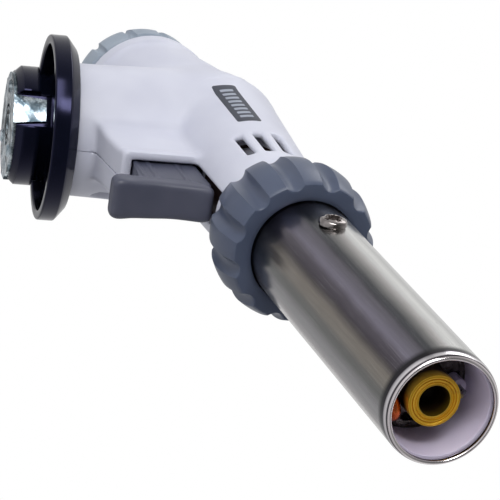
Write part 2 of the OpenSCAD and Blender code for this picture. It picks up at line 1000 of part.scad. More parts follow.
module piezo_body() {
    color("#2b2b30")
        translate([piezo_x[0], 0, piezo_z])
            difference() {
                translate([0, -4, -4.5])
                    cube([piezo_x[1] - piezo_x[0], 8, 9]);
                translate([9 - piezo_x[0], 0, 0])
                    rotate([0, 90, 0])
                        cylinder(r = plunger_r + running, h = 30);
            }
}

module ignition_wire() {
    y = 5.5;
    color("firebrick")
        route([
            [10, 4, piezo_z], [10, y + 1.6, piezo_z], [10, y + 1.6, 40],
            from_barrel([spark_up, 3, 145]), from_barrel([spark_up, 0, 137]),
            from_barrel([spark_up, 0, 38])], wire_r);
}

module electrode_insulator() {
    color("white")
        on_barrel()
            translate([spark_up, 0, 12])
                tube(1.6, 0.52, 26);
}

module electrode() {
    tip = from_barrel([nozzle_r + 1.1, 0, 7.4]);
    color("silver")
        route([
            from_barrel([spark_up, 0, 38]), from_barrel([spark_up, 0, 9.4]), tip], 0.5);
}

housing_left();
housing_right();
label_plate();
housing_screws();
collar_disc();
bayonet_boss();
bayonet_clip();
clip_rivets();
inlet_body();
inlet_seal();
inlet_filter();
clamp_washer();
inlet_nut();
valve_body();
gland_nut();
needle_spindle();
spindle_oring();
knob();
knob_cap();
preheat_tube();
jet_holder();
gas_jet();
mixing_tube();
nozzle();
flame_screen();
barrel_adapter();
baffle_plate();
liner();
barrel();
barrel_screw();
air_ring();
air_sleeve();
trigger();
piezo_plunger();
piezo_spring();
piezo_body();
ignition_wire();
electrode_insulator();
electrode();
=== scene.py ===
"""Looks of the gas torch head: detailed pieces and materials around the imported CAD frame.

Everything is in metres in the CAD frame. Lengths written in millimetres are
multiplied by MM. On the barrel's axis a point is given as (up, side, back):
up across the axis, side along +Y, back from the mouth along the axis.
"""
import json
import math

import bmesh
import bpy
import numpy as np
from mathutils import Matrix, Vector


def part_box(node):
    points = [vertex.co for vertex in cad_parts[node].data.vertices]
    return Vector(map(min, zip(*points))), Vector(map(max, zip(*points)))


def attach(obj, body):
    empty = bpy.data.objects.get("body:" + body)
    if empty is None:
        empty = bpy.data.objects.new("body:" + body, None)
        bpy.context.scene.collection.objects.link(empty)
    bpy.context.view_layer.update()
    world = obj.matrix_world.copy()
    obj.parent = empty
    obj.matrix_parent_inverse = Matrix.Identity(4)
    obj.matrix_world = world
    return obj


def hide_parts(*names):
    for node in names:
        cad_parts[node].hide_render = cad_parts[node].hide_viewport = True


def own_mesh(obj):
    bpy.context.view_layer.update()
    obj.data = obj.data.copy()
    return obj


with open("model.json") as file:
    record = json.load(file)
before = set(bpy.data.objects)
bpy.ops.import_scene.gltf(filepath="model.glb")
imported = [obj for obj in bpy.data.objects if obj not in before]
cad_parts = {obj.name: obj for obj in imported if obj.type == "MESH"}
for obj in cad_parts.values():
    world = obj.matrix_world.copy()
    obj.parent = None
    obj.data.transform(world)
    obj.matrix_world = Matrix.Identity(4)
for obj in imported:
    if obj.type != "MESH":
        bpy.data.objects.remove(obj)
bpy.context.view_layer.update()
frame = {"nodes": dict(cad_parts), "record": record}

MM = 0.001

# ------------------------------------------------------------------ the CAD's own places

JOINTS = {j["name"]: j for j in frame["record"]["behaviour"]["joints"]}
RING_CENTRE_BACK = 95.0          # mm from the mouth to the ring joint's place
BARREL_AXIS = Vector(JOINTS["air_ring_turn"]["axis"]).normalized()
BARREL_UP = Vector((-BARREL_AXIS.z, 0, BARREL_AXIS.x))
MOUTH = Vector(JOINTS["air_ring_turn"]["pos_m"]) + BARREL_AXIS * RING_CENTRE_BACK * MM
BARREL_R = 12.37

# Rows of the matrix are up, side, back: it takes (up, side, back) to the row frame.
ON_BARREL = Matrix((
    (BARREL_UP.x, 0, -BARREL_AXIS.x, MOUTH.x),
    (BARREL_UP.y, 1, -BARREL_AXIS.y, MOUTH.y),
    (BARREL_UP.z, 0, -BARREL_AXIS.z, MOUTH.z),
    (0, 0, 0, 1)))

VALVE_BACK = Vector(JOINTS["knob_turn"]["axis"]).normalized()
VALVE_UP = Vector((VALVE_BACK.z, 0, -VALVE_BACK.x))
KNOB_PLACE = Vector(JOINTS["knob_turn"]["pos_m"])
VALVE_ORIGIN = KNOB_PLACE - VALVE_BACK * KNOB_PLACE.x / VALVE_BACK.x   # where the axis has x = 0

# Takes (up, side, towards the knob from the cartridge axis) to the row frame.
ON_VALVE = Matrix((
    (VALVE_UP.x, 0, VALVE_BACK.x, VALVE_ORIGIN.x),
    (VALVE_UP.y, 1, VALVE_BACK.y, VALVE_ORIGIN.y),
    (VALVE_UP.z, 0, VALVE_BACK.z, VALVE_ORIGIN.z),
    (0, 0, 0, 1)))


# ------------------------------------------------------------------ mesh helpers

def new_piece(name, verts, faces, material, body, replaced=(), smooth=35):
    """A mesh piece from numpy or list data in metres, riding on a body."""
    mesh = bpy.data.meshes.new(name)
    mesh.from_pydata([tuple(v) for v in verts], [], [tuple(f) for f in faces])
    mesh.validate()
    return finish_piece(name, mesh, material, body, replaced, smooth)


def finish_piece(name, mesh, material, body, replaced=(), smooth=35):
    """Turns the faces outwards, links the piece, and declares its body, slot and nodes."""
    bm = bmesh.new()
    bm.from_mesh(mesh)
    bmesh.ops.recalc_face_normals(bm, faces=bm.faces)
    bm.to_mesh(mesh)
    bm.free()
    piece = bpy.data.objects.new(name, mesh)
    bpy.context.scene.collection.objects.link(piece)
    mesh.materials.append(material)
    shade(piece, smooth)
    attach(piece, body)
    if replaced:
        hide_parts(*replaced)
    return piece


def shade(piece, angle):
    """Smooth shading with edges sharper than the angle kept crisp."""
    mesh = piece.data
    mesh.polygons.foreach_set("use_smooth", [True] * len(mesh.polygons))
    bm = bmesh.new()
    bm.from_mesh(mesh)
    limit = math.radians(angle)
    for e in bm.edges:
        e.smooth = len(e.link_faces) != 2 or e.calc_face_angle(math.pi) < limit
    bm.to_mesh(mesh)
    bm.free()


STRAIGHT = 0.01                  # half of a turn in radians that is too slight to round


def fillet(points, radii, steps=5):
    """A polygon's corners rounded to arcs. radii is one number or one per corner."""
    if not hasattr(radii, "__len__"):
        radii = [radii] * len(points)
    out = []
    n = len(points)
    for i, p in enumerate(points):
        p = np.array(p, float)
        r = radii[i]
        a = np.array(points[i - 1], float) - p
        b = np.array(points[(i + 1) % n], float) - p
        la, lb = np.linalg.norm(a), np.linalg.norm(b)
        if r <= 0 or la == 0 or lb == 0:
            out.append(p)
            continue
        a, b = a / la, b / lb
        half = math.acos(max(-1, min(1, float(a @ b)))) / 2
        if half > math.pi / 2 - STRAIGHT:
            out.append(p)
            continue
        cut = min(r / math.tan(half), 0.49 * la, 0.49 * lb)
        r = cut * math.tan(half)
        middle = p + (a + b) / np.linalg.norm(a + b) * r / math.sin(half)
        start, end = p + a * cut - middle, p + b * cut - middle
        turn = math.atan2(start[0] * end[1] - start[1] * end[0], float(start @ end))
        for s in range(steps + 1):
            t = turn * s / steps
            c, k = math.cos(t), math.sin(t)
            turned = (c * start[0] - k * start[1], k * start[0] + c * start[1])
            out.append(middle + np.array(turned))
    return np.array(out)


def lathe(profile, segments=160, radius=None):
    """A closed ring of (r, z) points in mm turned about Z. radius(r, z, angle) may reshape it."""
    profile = np.asarray(profile, float)
    angles = np.arange(segments) * 2 * math.pi / segments
    r, z = profile[:, 0], profile[:, 1]
    rr, aa = np.meshgrid(r, angles)
    zz = np.meshgrid(z, angles)[0]
    if radius is not None:
        rr = radius(rr, zz, aa)
    verts = np.stack([rr * np.cos(aa), rr * np.sin(aa), zz], -1).reshape(-1, 3) * MM
    n = len(profile)
    faces = []
    for i in range(segments):
        j = (i + 1) % segments
        for k in range(n):
            m = (k + 1) % n
            faces.append((i * n + k, j * n + k, j * n + m, i * n + m))
    return verts, faces


def moved(verts, matrix):
    m = np.array(matrix)
    return np.asarray(verts) @ m[:3, :3].T + m[:3, 3]


def sweep(points, r, sides=16):
    """A round tube of radius r along points, both in metres, with parallel transport."""
    pts = [Vector(p) for p in points]
    tangents = []
    for i in range(len(pts)):
        tangents.append((pts[min(i + 1, len(pts) - 1)] - pts[max(i - 1, 0)]).normalized())
    normal = tangents[0].orthogonal().normalized()
    verts, faces = [], []
    for i, (p, t) in enumerate(zip(pts, tangents)):
        if i:
            normal = tangents[i - 1].rotation_difference(t) @ normal
        other = t.cross(normal)
        for j in range(sides):
            a = 2 * math.pi * j / sides
            verts.append(p + (normal * math.cos(a) + other * math.sin(a)) * r)
    for i in range(len(pts) - 1):
        for j in range(sides):
            m = (j + 1) % sides
            faces.append((i * sides + j, i * sides + m, (i + 1) * sides + m, (i + 1) * sides + j))
    faces.append(tuple(range(sides)))
    faces.append(tuple(range((len(pts) - 1) * sides, len(pts) * sides)))
    return verts, faces


PULLS = 2                        # times that a net's points are pulled onto the surface
LEAST_SLOPE = 0.2                # squared slope below which a pull isn't lengthened further


def surface_nets(field, lo, hi, step):
    """The zero surface of a signed distance field in mm, as quads near the true surface."""
    axes = [np.arange(a - 2 * step, b + 2.5 * step, step) for a, b in zip(lo, hi)]
    grid = np.stack(np.meshgrid(*axes, indexing="ij"), -1)
    d = field(grid)
    inside = d < 0
    base = np.array([a[0] for a in axes])
    total = np.zeros(tuple(n - 1 for n in d.shape) + (3,))
    count = np.zeros(tuple(n - 1 for n in d.shape))
    corners = [(i, j, k) for i in (0, 1) for j in (0, 1) for k in (0, 1)]
    view = {c: tuple(slice(c[a], d.shape[a] - 1 + c[a]) for a in range(3)) for c in corners}
    for c in corners:
        for axis in range(3):
            if c[axis]:
                continue
            e = tuple(c[a] + (a == axis) for a in range(3))
            da, db = d[view[c]], d[view[e]]
            cross = (da < 0) != (db < 0)
            t = np.where(cross, da / np.where(cross, da - db, 1), 0)
            for a in range(3):
                total[..., a] += np.where(cross, c[a] + (t if a == axis else 0), 0)
            count += cross
    cells = np.argwhere(count > 0)
    index = -np.ones(count.shape, int)
    index[tuple(cells.T)] = np.arange(len(cells))
    at = tuple(cells.T)
    verts = base + (cells + total[at] / count[at][:, None]) * step
    faces = []
    for axis in range(3):
        u, v = (axis + 1) % 3, (axis + 2) % 3
        lo_side = [slice(1, -1)] * 3
        lo_side[axis] = slice(0, -1)
        hi_side = list(lo_side)
        hi_side[axis] = slice(1, None)
        a, b = inside[tuple(lo_side)], inside[tuple(hi_side)]
        edges = np.argwhere(a != b)
        edges += np.array([0 if k == axis else 1 for k in range(3)])
        flip = a[a != b]
        du, dv = np.eye(3, dtype=int)[u], np.eye(3, dtype=int)[v]
        quad = [index[tuple((edges - x).T)] for x in (du + dv, dv, 0 * du, du)]
        quad = np.stack(quad, 1)
        quad[~flip] = quad[~flip][:, ::-1]
        faces.append(quad)
    faces = np.concatenate(faces)
    for _ in range(PULLS):
        h = step * 0.25
        f = field(verts)
        g = np.stack([field(verts + h * e) - field(verts - h * e) for e in np.eye(3)], -1) / (2 * h)
        slope = np.maximum((g * g).sum(-1), LEAST_SLOPE)
        verts = verts - np.clip(f, -step, step)[:, None] * g / slope[:, None]
    return verts * MM, faces


def blend_min(a, b, k):
    """Smooth union of two distances, blended over k mm."""
    h = np.clip(0.5 + 0.5 * (b - a) / k, 0, 1)
    return b + (a - b) * h - k * h * (1 - h)


def round_max(a, b, k):
    """What two solids share, with the edge rounded over k mm."""
    return -blend_min(-a, -b, k)


def carve(a, b, k):
    """Takes solid b out of solid a, with the edge rounded over k mm."""
    return -blend_min(-a, b, k)


def step_up(x, lo, hi):
    """0 below lo, 1 above hi, and a smooth step between."""
    t = np.clip((x - lo) / (hi - lo), 0, 1)
    return t * t * (3 - 2 * t)


def rounded_box(p, middle, half, r):
    """Distance to a box with edges of radius r."""
    q = np.abs(p - np.array(middle)) - (np.array(half) - r)
    return np.linalg.norm(np.maximum(q, 0), axis=-1) + np.minimum(q.max(-1), 0) - r


# ------------------------------------------------------------------ materials

def srgb(r, g, b):
    """A linear colour from 0-255 display values."""
    def one(c):
        c /= 255
        return c / 12.92 if c <= 0.04045 else ((c + 0.055) / 1.055) ** 2.4
    return (one(r), one(g), one(b), 1)


class Nodes:
    """A material's node tree, with one call per node."""

    def __init__(self, name, **settings):
        self.material = bpy.data.materials.new(name)
        self.material.use_nodes = True
        self.tree = self.material.node_tree
        self.shader = self.tree.nodes["Principled BSDF"]
        for key, value in settings.items():
            self.shader.inputs[key.replace("_", " ")].default_value = value
        self.place = self.add("ShaderNodeTexCoord").outputs["Object"]

    def add(self, kind, inputs=(), **settings):
        node = self.tree.nodes.new(kind)
        for key, value in settings.items():
            setattr(node, key, value)
        for key, value in dict(inputs).items():
            if isinstance(value, bpy.types.NodeSocket):
                self.tree.links.new(value, node.inputs[key])
            else:
                node.inputs[key].default_value = value
        return node

    def set(self, socket, value):
        self.tree.links.new(value, self.shader.inputs[socket])

    def along(self, direction, origin=(0, 0, 0)):
        """Distance in metres along a direction from an origin."""
        offset = self.add("ShaderNodeVectorMath", {0: self.place, 1: tuple(origin)},
                          operation="SUBTRACT")
        return self.add("ShaderNodeVectorMath", {0: offset.outputs[0], 1: tuple(direction)},
                        operation="DOT_PRODUCT").outputs["Value"]

    def barrel_place(self):
        """Up, side and back from the mouth, in metres."""
        return [self.along(way, MOUTH) for way in (BARREL_UP, (0, 1, 0), -BARREL_AXIS)]

    def noise(self, size_mm, detail=3, roughness=0.55):
        """Noise with grains about size_mm across."""
        return self.scaled_noise(self.place, 1000 / size_mm, detail, roughness)

    def scaled_noise(self, vector, scale, detail, roughness):
        return self.add("ShaderNodeTexNoise", {
            "Vector": vector, "Scale": scale, "Detail": detail, "Roughness": roughness}).outputs["Fac"]

    def ramp(self, value, stops):
        """A colour band; each stop is a place from 0 to 1 and a colour."""
        node = self.add("ShaderNodeValToRGB", {"Fac": value})
        band = node.color_ramp.elements
        while len(band) < len(stops):
            band.new(0.5)
        for element, (at, colour) in zip(band, stops):
            element.position = at
            element.color = colour
        return node.outputs["Color"]

    def span(self, value, lo, hi, to_lo, to_hi):
        """The value's range lo to hi mapped to to_lo to to_hi, and held at the ends."""
        return self.add("ShaderNodeMapRange", {
            "Value": value, "From Min": lo, "From Max": hi,
            "To Min": to_lo, "To Max": to_hi}).outputs[0]

    def mix(self, factor, a, b):
        node = self.add("ShaderNodeMix", data_type="RGBA")
        for key, value in ((0, factor), (6, a), (7, b)):
            if isinstance(value, bpy.types.NodeSocket):
                self.tree.links.new(value, node.inputs[key])
            else:
                node.inputs[key].default_value = value
        return node.outputs[2]

    def math(self, kind, a, b=0.0):
        return self.add("ShaderNodeMath", {0: a, 1: b}, operation=kind).outputs[0]

    def bump(self, height, strength, distance_mm, under=None):
        inputs = {"Height": height, "Strength": strength, "Distance": distance_mm * MM}
        if under is not None:
            inputs["Normal"] = under
        return self.add("ShaderNodeBump", inputs).outputs[0]


def moulded(name, colour, dark, roughness, grain_mm, bump, gloss=0.5, gloss_tint=(1, 1, 1, 1)):
    """Moulded plastic: a fine even grain, faint clouding, and rubbed high spots."""
    n = Nodes(name, Roughness=roughness, Specular_IOR_Level=gloss, Specular_Tint=gloss_tint)
    cloud = n.noise(14, 2)
    fine = n.noise(grain_mm, 2)
    speck = n.noise(2.2, 4, 0.7)
    tone = n.mix(n.span(cloud, 0.3, 0.7, 0, 1), dark, colour)
    tone = n.mix(n.span(speck, 0.62, 0.8, 0, 0.25), tone, dark)
    n.set("Base Color", tone)
    n.set("Roughness", n.span(cloud, 0.25, 0.75, roughness - 0.05, roughness + 0.07))
    waves = n.bump(n.noise(6, 1), 0.06, 0.4)
    n.set("Normal", n.bump(fine, bump, 0.05, waves))
    return n.material


def metal(name, colour, dark, roughness, grain_mm=0.5, bump=0.08):
    """Bare turned or drawn metal with slight staining."""
    n = Nodes(name, Metallic=1.0, Roughness=roughness)
    stain = n.noise(3.5, 4, 0.6)
    n.set("Base Color", n.mix(n.span(stain, 0.35, 0.7, 0, 1), colour, dark))
    n.set("Roughness", n.span(stain, 0.3, 0.7, roughness - 0.08, roughness + 0.08))
    n.set("Normal", n.bump(n.noise(grain_mm, 3), bump, 0.03))
    return n.material


def drawn_barrel():
    """Polished tube: streaks along its length, painted reflections as stripes around it, darker with a
    purple tint just in front of the ring, and painted reflections and shade on the rolled lip.
    """
    n = Nodes("barrel_steel", Metallic=1.0, Roughness=0.17)
    up, side, back = n.barrel_place()
    angle = n.math("ARCTAN2", n.math("MULTIPLY", side, -1.0), up)
    wobble = n.span(n.noise(9, 2), 0.3, 0.7, -0.012, 0.012)
    turn = n.span(n.math("ADD", angle, wobble), -math.pi, math.pi, 0, 1)
    # Painted reflections: light and dark stripes by the angle round the axis, put in the base colour.
    painted_reflection_bands = n.ramp(turn, [
        (0.00, srgb(142, 141, 141)), (0.015, srgb(162, 160, 162)), (0.035, srgb(170, 168, 170)),
        (0.06, srgb(200, 195, 196)), (0.13, srgb(236, 234, 230)), (0.20, srgb(110, 108, 108)),
        (0.32, srgb(190, 188, 184)), (0.45, srgb(90, 88, 88)), (0.55, srgb(176, 176, 172)),
        (0.66, srgb(224, 224, 222)), (0.69, srgb(208, 208, 206)), (0.715, srgb(245, 245, 242)),
        (0.735, srgb(222, 222, 220)), (0.75, srgb(188, 184, 182)), (0.77, srgb(140, 138, 136)),
        (0.793, srgb(64, 66, 70)), (0.807, srgb(84, 84, 90)), (0.82, srgb(134, 130, 140)),
        (0.855, srgb(140, 135, 150)), (0.875, srgb(98, 92, 102)), (0.90, srgb(78, 72, 80)),
        (0.91, srgb(92, 86, 86)), (0.93, srgb(146, 139, 130)), (0.955, srgb(146, 140, 132)),
        (0.97, srgb(122, 121, 118)), (0.985, srgb(118, 119, 116)), (1.00, srgb(142, 141, 141))])
    across, along = n.math("MULTIPLY", angle, 34.0), n.math("MULTIPLY", back, 9.0)
    fine = n.add("ShaderNodeCombineXYZ", {0: across, 1: along, 2: 0.0}).outputs[0]
    streak = n.scaled_noise(fine, 6.0, 4, 0.65)
    tone = n.mix(n.span(streak, 0.42, 0.66, 0.0, 0.28), painted_reflection_bands, srgb(84, 84, 86))
    tone = n.mix(n.span(streak, 0.34, 0.42, 0.2, 0.0), tone, srgb(236, 236, 234))
    # Darker, with a purple tint, over the last 5 mm in front of the ring.
    toward_ring_front = n.math("ADD", back, n.span(n.noise(5, 3), 0.3, 0.7, -0.003, 0.003))
    tone = n.mix(n.span(toward_ring_front, 0.0785, 0.0835, 0, 0.62), tone, srgb(74, 66, 72))
    speck = n.noise(0.9, 2, 0.4)
    tone = n.mix(n.span(speck, 0.72, 0.78, 0, 0.5), tone, srgb(70, 68, 66))
    # Painted shade: a dark ring round the tube just behind the rolled lip.
    tone = n.mix(n.span(back, 0.0030, 0.0048, 1, 0), tone, srgb(40, 39, 42))
    # Painted reflections on the rolled lip: light and dark rings by distance from the mouth.
    lip_painted_reflections = n.ramp(n.span(back, 0, 0.003, 0, 1), [
        (0.00, srgb(240, 234, 236)), (0.10, srgb(226, 218, 220)), (0.15, srgb(58, 54, 60)),
        (0.22, srgb(70, 66, 72)), (0.32, srgb(236, 232, 234)), (0.52, srgb(200, 196, 200)),
        (0.66, srgb(50, 46, 52)), (1.00, srgb(40, 39, 42))])
    tone = n.mix(n.span(back, 0.0029, 0.0030, 1, 0), tone, lip_painted_reflections)
    n.set("Base Color", tone)
    n.set("Roughness", n.span(streak, 0.3, 0.7, 0.14, 0.26))
    n.set("Normal", n.bump(streak, 0.05, 0.03))
    return n.material


TOOL_MARK_PITCH = 0.00055        # metres between the turned rings of the nozzle's face


def nozzle_brass():
    """Turned brass, bright on its ringed face, near black in the bore, and with painted shade on its
    side behind the face.
    """
    n = Nodes("nozzle_brass", Metallic=0.6, Roughness=0.28)
    up, side, back = n.barrel_place()
    squares = n.math("ADD", n.math("MULTIPLY", up, up), n.math("MULTIPLY", side, side))
    radius = n.math("SQRT", squares)
    ring = n.math("SINE", n.math("MULTIPLY", radius, 2 * math.pi / TOOL_MARK_PITCH))
    tone = n.mix(n.span(ring, -1, 1, 0, 1), srgb(222, 158, 20), srgb(255, 210, 70))
    tone = n.mix(n.span(n.noise(3, 3), 0.55, 0.75, 0, 0.4), tone, srgb(160, 112, 40))
    # Near black inside 3.3 mm of the axis, over the bore.
    tone = n.mix(n.span(radius, 0.0033, 0.0036, 1, 0), tone, srgb(20, 14, 8))
    # Painted shade on the side behind the face, from 5.8 mm back.
    tone = n.mix(n.span(back, 0.0058, 0.0080, 0, 1), tone, srgb(58, 42, 26))
    n.set("Base Color", tone)
    n.set("Normal", n.bump(ring, 0.5, 0.06))
    return n.material


def worn_zinc():
    """Bright zinc plate with crystal mottling and dark scuffs."""
    n = Nodes("zinc_steel", Metallic=1.0, Roughness=0.25)
    patch = n.noise(3.0, 4, 0.6)
    tone = n.mix(n.span(patch, 0.38, 0.62, 0, 1), srgb(222, 232, 238), srgb(128, 146, 158))
    dark = n.noise(5.5, 4, 0.75)
    n.set("Base Color", n.mix(n.span(dark, 0.46, 0.58, 0, 0.85), tone, srgb(46, 58, 66)))
    n.set("Roughness", n.span(patch, 0.3, 0.7, 0.16, 0.42))
    n.set("Normal", n.bump(patch, 0.12, 0.12))
    return n.material


M = {
    "housing": moulded("housing_plastic", srgb(210, 212, 225), srgb(201, 203, 218), 0.42, 0.3, 0.10),
    "slate": moulded("slate_plastic", srgb(80, 89, 110), srgb(69, 78, 100), 0.34, 0.3, 0.16),
    "knob": moulded("knob_plastic", srgb(158, 169, 182), srgb(142, 154, 169), 0.42, 0.3, 0.12),
    "trigger": moulded("trigger_plastic", srgb(80, 82, 98), srgb(68, 71, 88), 0.42, 0.3, 0.16),
    "black": moulded("black_plastic", srgb(9, 12, 24), srgb(6, 8, 17), 0.12, 0.4, 0.05, 0.36,
                     (0.5, 0.5, 1.0, 1)),
    "dark": moulded("dark_plastic", srgb(56, 38, 36), srgb(42, 29, 28), 0.5, 0.3, 0.12),
    "ivory": moulded("ivory_plastic", srgb(222, 216, 196), srgb(208, 201, 180), 0.45, 0.3, 0.10),
    "label": moulded("label_plastic", srgb(62, 66, 78), srgb(52, 55, 66), 0.5, 0.2, 0.10),
    "mark": moulded("label_mark", srgb(160, 166, 180), srgb(142, 149, 163), 0.5, 0.2, 0.10),
    "rubber": moulded("rubber_black", srgb(28, 28, 30), srgb(20, 20, 22), 0.65, 0.2, 0.2),
    "wire": moulded("wire_red", srgb(150, 34, 28), srgb(128, 26, 22), 0.5, 0.2, 0.1),
    "brass": metal("brass", srgb(226, 178, 84), srgb(196, 142, 58), 0.24),
    "nozzle": nozzle_brass(),
    "heat_dark": metal("heat_dark_steel", srgb(112, 106, 104), srgb(58, 52, 50), 0.3, 0.5, 0.15),
    "bronze": metal("filter_bronze", srgb(168, 132, 84), srgb(120, 92, 60), 0.6, 0.25, 0.5),
    "copper": metal("copper", srgb(236, 122, 66), srgb(176, 70, 36), 0.3),
    "chrome": metal("screw_steel", srgb(176, 170, 168), srgb(104, 98, 98), 0.16),
    "spring": metal("spring_steel", srgb(176, 176, 180), srgb(130, 130, 134), 0.3),
    "zinc": worn_zinc(),
    "steel": drawn_barrel(),
    "ceramic": moulded("ceramic_white", srgb(216, 208, 228), srgb(206, 197, 222), 0.4, 0.5, 0.1),
}
SLOT_MATERIAL = {
    "housing_plastic": "housing", "slate_plastic": "slate", "knob_plastic": "knob",
    "trigger_plastic": "trigger", "label_plastic": "label", "black_plastic": "black",
    "dark_plastic": "dark", "ivory_plastic": "ivory", "zinc_steel": "zinc",
    "barrel_steel": "steel", "screw_steel": "chrome", "spring_steel": "spring",
    "brass": "brass", "copper": "copper", "ceramic_white": "ceramic",
    "filter_bronze": "bronze", "rubber_black": "rubber", "wire_red": "wire"}


def dress_cad():
    """Every CAD node that stays in view gets its slot's material."""
    slots = {s["node"]: s["material_slot"] for s in frame["record"]["subparts"]}
    for node, piece in frame["nodes"].items():
        piece.data.materials.clear()
        piece.data.materials.append(M[SLOT_MATERIAL[slots[node]]])


dress_cad()

# ------------------------------------------------------------------ housing

UP, AXIS, MOUTH_MM = np.array(BARREL_UP), np.array(BARREL_AXIS), np.array(MOUTH) / MM
V_UP, V_BACK, V_ORIGIN = np.array(VALVE_UP), np.array(VALVE_BACK), np.array(VALVE_ORIGIN) / MM

# All in mm. A name that ends in _K is a distance behind the mouth, and one in _S is a
# distance along the valve's axis, from the cartridge's axis towards the knob.
FRONT_K, CROSS_K = 104.5, 161.8          # ends of the tapered body
FRONT_R, SPREAD, RISE = 13.4, 0.055, 0.0524
NECK_Z, NECK_R, DOME_R, DOME_Z = 6.5, 16.4, 17.0, 42.0
BOSS_R, REAR_S = 16.8, 30.6              # boss behind which the knob turns
BLOCK_X, BLOCK_TOP = 34.0, 38.0          # front and top of the block over the trigger
WALL = 2.0
PARTITION_K, PARTITION_HALF = 129.7, 1.2     # inner wall that holds the mixing tube
PILLAR_R, WELL_R, WELL_FLOOR = 3.9, 2.8, 9.0   # round each housing screw
BORE_R, BORE_END_K, TUBE_HOLE_R = 10.95, 128.5, 5.1
VALVE_HOLE_R, INLET_HOLE_R, INLET_HOLE_TOP = 5.1, 4.8, 20.0
WIRE_UP, WIRE_HOLE_R = 8.2, 1.2
SLOT_HW, SLOT_BOTTOM, SLOT_TOP, SLOT_X = 4.75, 17.9, -10.6, (15.0, 52.6)   # for the trigger
SCREWS = [(8.5, 15.6), (-10.4, 15.0), (-21.0, 40.6), (10.3, 51.0)]   # x and z
VENT_ANGLES, VENT_HALF = [-18.5, 1.0, 20.5], [0.95, 1.1, 1.15]
VENT_K, VENT_HALF_LEN = 121.1, 5.5
GAP = 0.02                               # half the gap between the housing's halves
SAMPLED_X, SAMPLED_Z, REACH_Y = (-35, 58), (6, 61), 18   # box in which its surface is found


def barrel_coordinates(p):
    q = p - MOUTH_MM
    return q @ UP, p[..., 1], -(q @ AXIS)


def valve_coordinates(p):
    q = p - V_ORIGIN
    return q @ V_UP, p[..., 1], q @ V_BACK


def body_surface(back):
    """Radius of the tapered body and rise of its centre, in mm."""
    return FRONT_R + SPREAD * (back - FRONT_K), RISE * (back - FRONT_K)


def housing_outside(p):
    """Distance to the housing's outside, as if it were solid and in one piece."""
    up, side, back = barrel_coordinates(p)
    r, rise = body_surface(back)
    cone = round_max(np.hypot(up - rise, side) - r, np.maximum(FRONT_K - back, back - CROSS_K), 1.0)
    x, y, z = p[..., 0], p[..., 1], p[..., 2]
    neck_r = NECK_R + (DOME_R - NECK_R) * step_up(z, 4, 32)
    neck = np.where(z > DOME_Z, np.sqrt(x * x + y * y + (z - DOME_Z) ** 2) - DOME_R,
                    np.hypot(x, y) - neck_r)
    body = blend_min(cone, neck, 1.8)
    v_up, v_side, v_back = valve_coordinates(p)
    rear_centre = V_ORIGIN + V_BACK * REAR_S
    start = np.array((0, 0, DOME_Z))
    run = rear_centre - start
    length = np.linalg.norm(run)
    run = run / length
    t = (p - start) @ run
    off = np.linalg.norm(p - start - t[..., None] * run, axis=-1)
    tube = np.maximum(off - (DOME_R - 0.4 - 0.3 * t / length), -t)
    boss = np.maximum(np.hypot(v_up, v_side) - BOSS_R, REAR_S - 3.2 - v_back)
    rear = round_max(blend_min(tube, boss, 3.0), v_back - REAR_S, 0.8)
    body = blend_min(body, rear, 2.2)
    bottom = 11.4 + (x - 16) * 0.235
    half_width = 6.5 + 0.4 * step_up(x, 29.8, 31.4) + 1.4 * step_up(24 - x, 0, 14)
    block = round_max(round_max(np.abs(y) - half_width, bottom - z, 1.6), x - BLOCK_X, 0.8)
    block = np.maximum(np.maximum(block, z - BLOCK_TOP), -x)
    body = blend_min(body, block, 1.5)
    return round_max(body, NECK_Z - z, 0.6)


def vent_cut(p):
    """Distance to the three air slots, the same on both sides."""
    up, side, back = barrel_coordinates(p)
    side = np.abs(side)
    cuts = []
    for angle, half in zip(VENT_ANGLES, VENT_HALF):
        a = math.radians(angle)
        out = up * math.sin(a) + side * math.cos(a)
        across = up * math.cos(a) - side * math.sin(a)
        q = np.stack([across, out, back], -1)
        cuts.append(rounded_box(q, (0, 16, VENT_K), (half, 6, VENT_HALF_LEN), 0.6))
    return np.minimum(np.minimum(cuts[0], cuts[1]), cuts[2])


